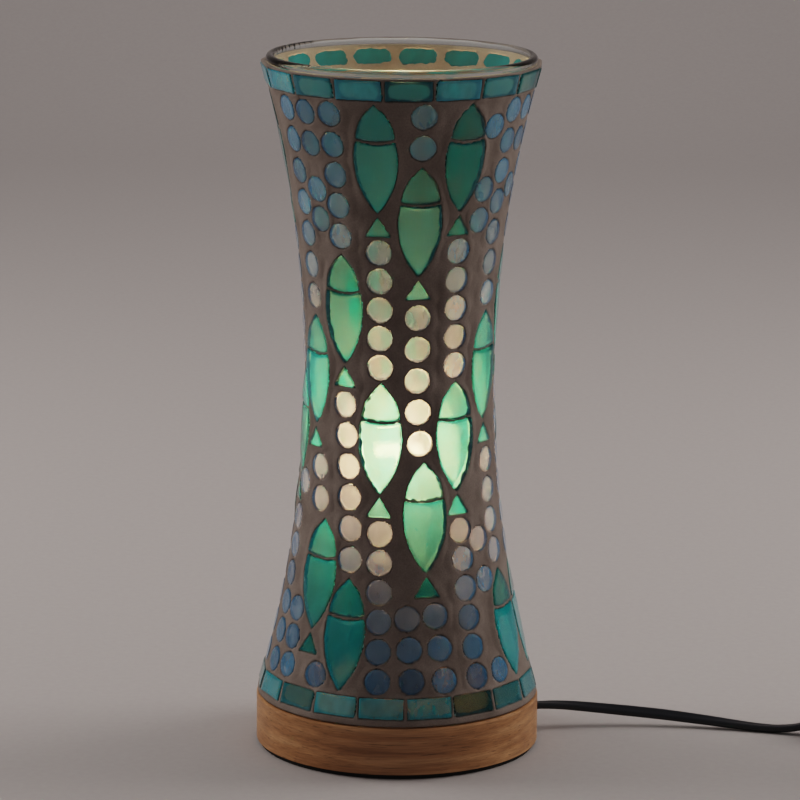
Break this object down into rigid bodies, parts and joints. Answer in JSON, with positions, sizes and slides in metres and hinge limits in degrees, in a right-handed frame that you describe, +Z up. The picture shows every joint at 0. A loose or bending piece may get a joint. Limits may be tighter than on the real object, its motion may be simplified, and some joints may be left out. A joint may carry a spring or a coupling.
{
  "type": "mosaic glass table lamp",
  "caption": "Hourglass table lamp: clear glass shade faced with fish and round mosaic tiles, on a round wood base with a lamp socket, bulb, cord, in-line switch and plug.",
  "frame": {"origin": "middle of the underside of the base pad, on the table", "axes": "+Z up along the lamp's axis, -Y the front, +X the side where the cord leaves"},
  "size_m": [0.3278, 0.1862, 0.295],
  "materials": {
    "turned_wood": "satin",
    "pad_foam": "matte",
    "clear_glass": "gloss",
    "grout": "matte",
    "head_glass": "gloss",
    "body_glass": "gloss",
    "tail_glass": "gloss",
    "dot_glass": "gloss",
    "band_glass": "gloss",
    "steel": "satin",
    "phenolic": "gloss",
    "ceramic": "matte",
    "brass": "satin",
    "live_insulation": "satin",
    "neutral_insulation": "satin",
    "bulb_metal": "satin",
    "bulb_glass": "gloss",
    "stem_glass": "gloss",
    "filament": "matte",
    "cord_jacket": "satin",
    "tie_strap": "matte",
    "switch_plastic": "satin",
    "plug_plastic": "satin"
  },
  "bodies": {
    "base": {"wood_base": "turned_wood", "base_pad": "pad_foam", "lamp_nipple": "steel", "nipple_nut": "steel", "nipple_washer": "steel", "socket_cap": "phenolic", "socket_shell": "phenolic", "socket_insulator": "ceramic", "screw_shell": "brass", "centre_contact": "brass", "terminal_screws": "brass", "live_wire": "live_insulation", "neutral_wire": "neutral_insulation", "cord_bushing": "switch_plastic", "cord_clamp": "switch_plastic", "clamp_screws": "steel", "cord_lead": "cord_jacket", "cord_run": "cord_jacket", "cord_coil": "cord_jacket", "cord_tail": "cord_jacket", "cord_tie": "tie_strap", "switch_lower_shell": "switch_plastic", "switch_upper_shell": "switch_plastic", "switch_pin": "steel", "switch_contacts": "brass", "switch_screws": "steel", "plug_body": "plug_plastic", "plug_blades": "bulb_metal"},
    "shade": {"shade_glass": "clear_glass", "shade_grout": "grout", "fish_heads": "head_glass", "fish_bodies": "body_glass", "fish_tails": "tail_glass", "dot_tiles": "dot_glass", "rim_band_tiles": "band_glass", "foot_band_tiles": "band_glass"},
    "bulb_cap": {"bulb_cap": "bulb_metal", "bulb_insulator": "phenolic", "bulb_contact": "bulb_metal"},
    "bulb_glass": {"bulb_envelope": "bulb_glass", "bulb_stem": "stem_glass", "bulb_support_wires": "steel", "bulb_filament": "filament"},
    "rocker": {"switch_rocker": "switch_plastic"}
  },
  "joints": [
    {"name": "shade_lift", "type": "slide", "parent": "base", "child": "shade", "axis": [0, 0, 1], "range_m": [0, 0.16]},
    {"name": "bulb_rise", "type": "slide", "parent": "base", "child": "bulb_cap", "axis": [0, 0, 1], "range_m": [0, 0.0164]},
    {"name": "bulb_turn", "type": "hinge", "parent": "bulb_cap", "child": "bulb_glass", "pos_m": [0, 0, 0.127], "axis": [0, 0, 1], "range_deg": [0, 1630]},
    {"name": "rocker_tilt", "type": "hinge", "parent": "base", "child": "rocker", "pos_m": [0.212, 0.008, 0.0098], "axis": [0, 1, 0], "range_deg": [-18, 0]}
  ],
  "couplings": [
    {"joint": "bulb_turn", "follows": "bulb_rise", "rad_per_m": 1730.9}
  ]
}
